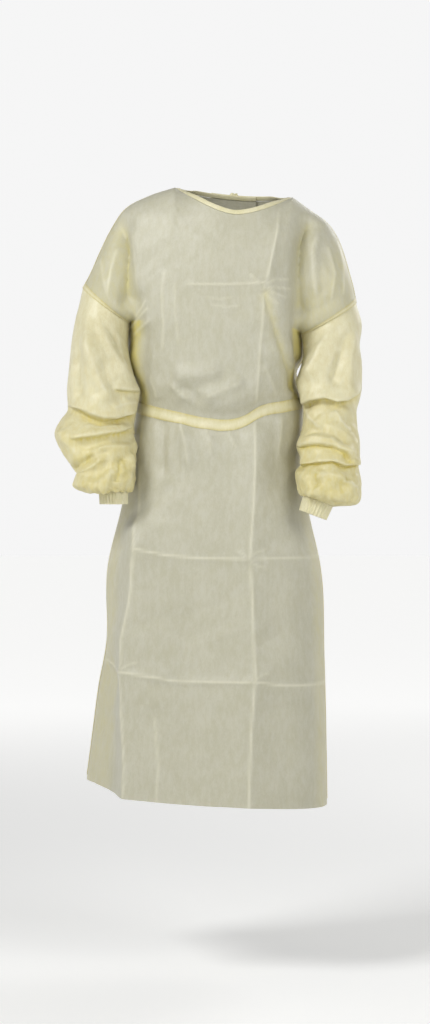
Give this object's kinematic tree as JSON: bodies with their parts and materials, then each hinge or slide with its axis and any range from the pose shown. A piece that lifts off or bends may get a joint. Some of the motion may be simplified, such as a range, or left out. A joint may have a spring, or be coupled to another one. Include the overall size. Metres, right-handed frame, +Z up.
{
  "type": "isolation gown",
  "caption": "Back-opening isolation gown in thin nonwoven cloth, filled out as worn: bound neck, dropped sleeves with gathered elastic cuffs, flared skirt and a tied belt",
  "frame": {"origin": "where the gown hangs from the shoulders, at the base of the neck", "axes": "+Z up along the body, -Y the front of the gown, +X the wearer's left"},
  "size_m": [0.5638, 0.3362, 1.1392],
  "materials": {
    "nonwoven_body": "thin spunbond nonwoven, matte with a faint sheen",
    "nonwoven_sleeve": "thin spunbond nonwoven, warmer yellow where it is doubled over",
    "elastic_cuff": "nonwoven gathered on elastic thread",
    "doubled_strip": "nonwoven folded double, edge stitched"
  },
  "bodies": {
    "root": {"front": "nonwoven_body", "back_left": "nonwoven_body", "back_right": "nonwoven_body", "sleeve_left": "nonwoven_sleeve", "sleeve_right": "nonwoven_sleeve", "cuff_left": "elastic_cuff", "cuff_right": "elastic_cuff", "neck_binding": "doubled_strip", "neck_knot": "doubled_strip", "neck_tail_left": "doubled_strip", "neck_tail_right": "doubled_strip", "belt": "doubled_strip", "belt_knot": "doubled_strip", "belt_tail_left": "doubled_strip", "belt_tail_right": "doubled_strip"}
  },
  "joints": []
}
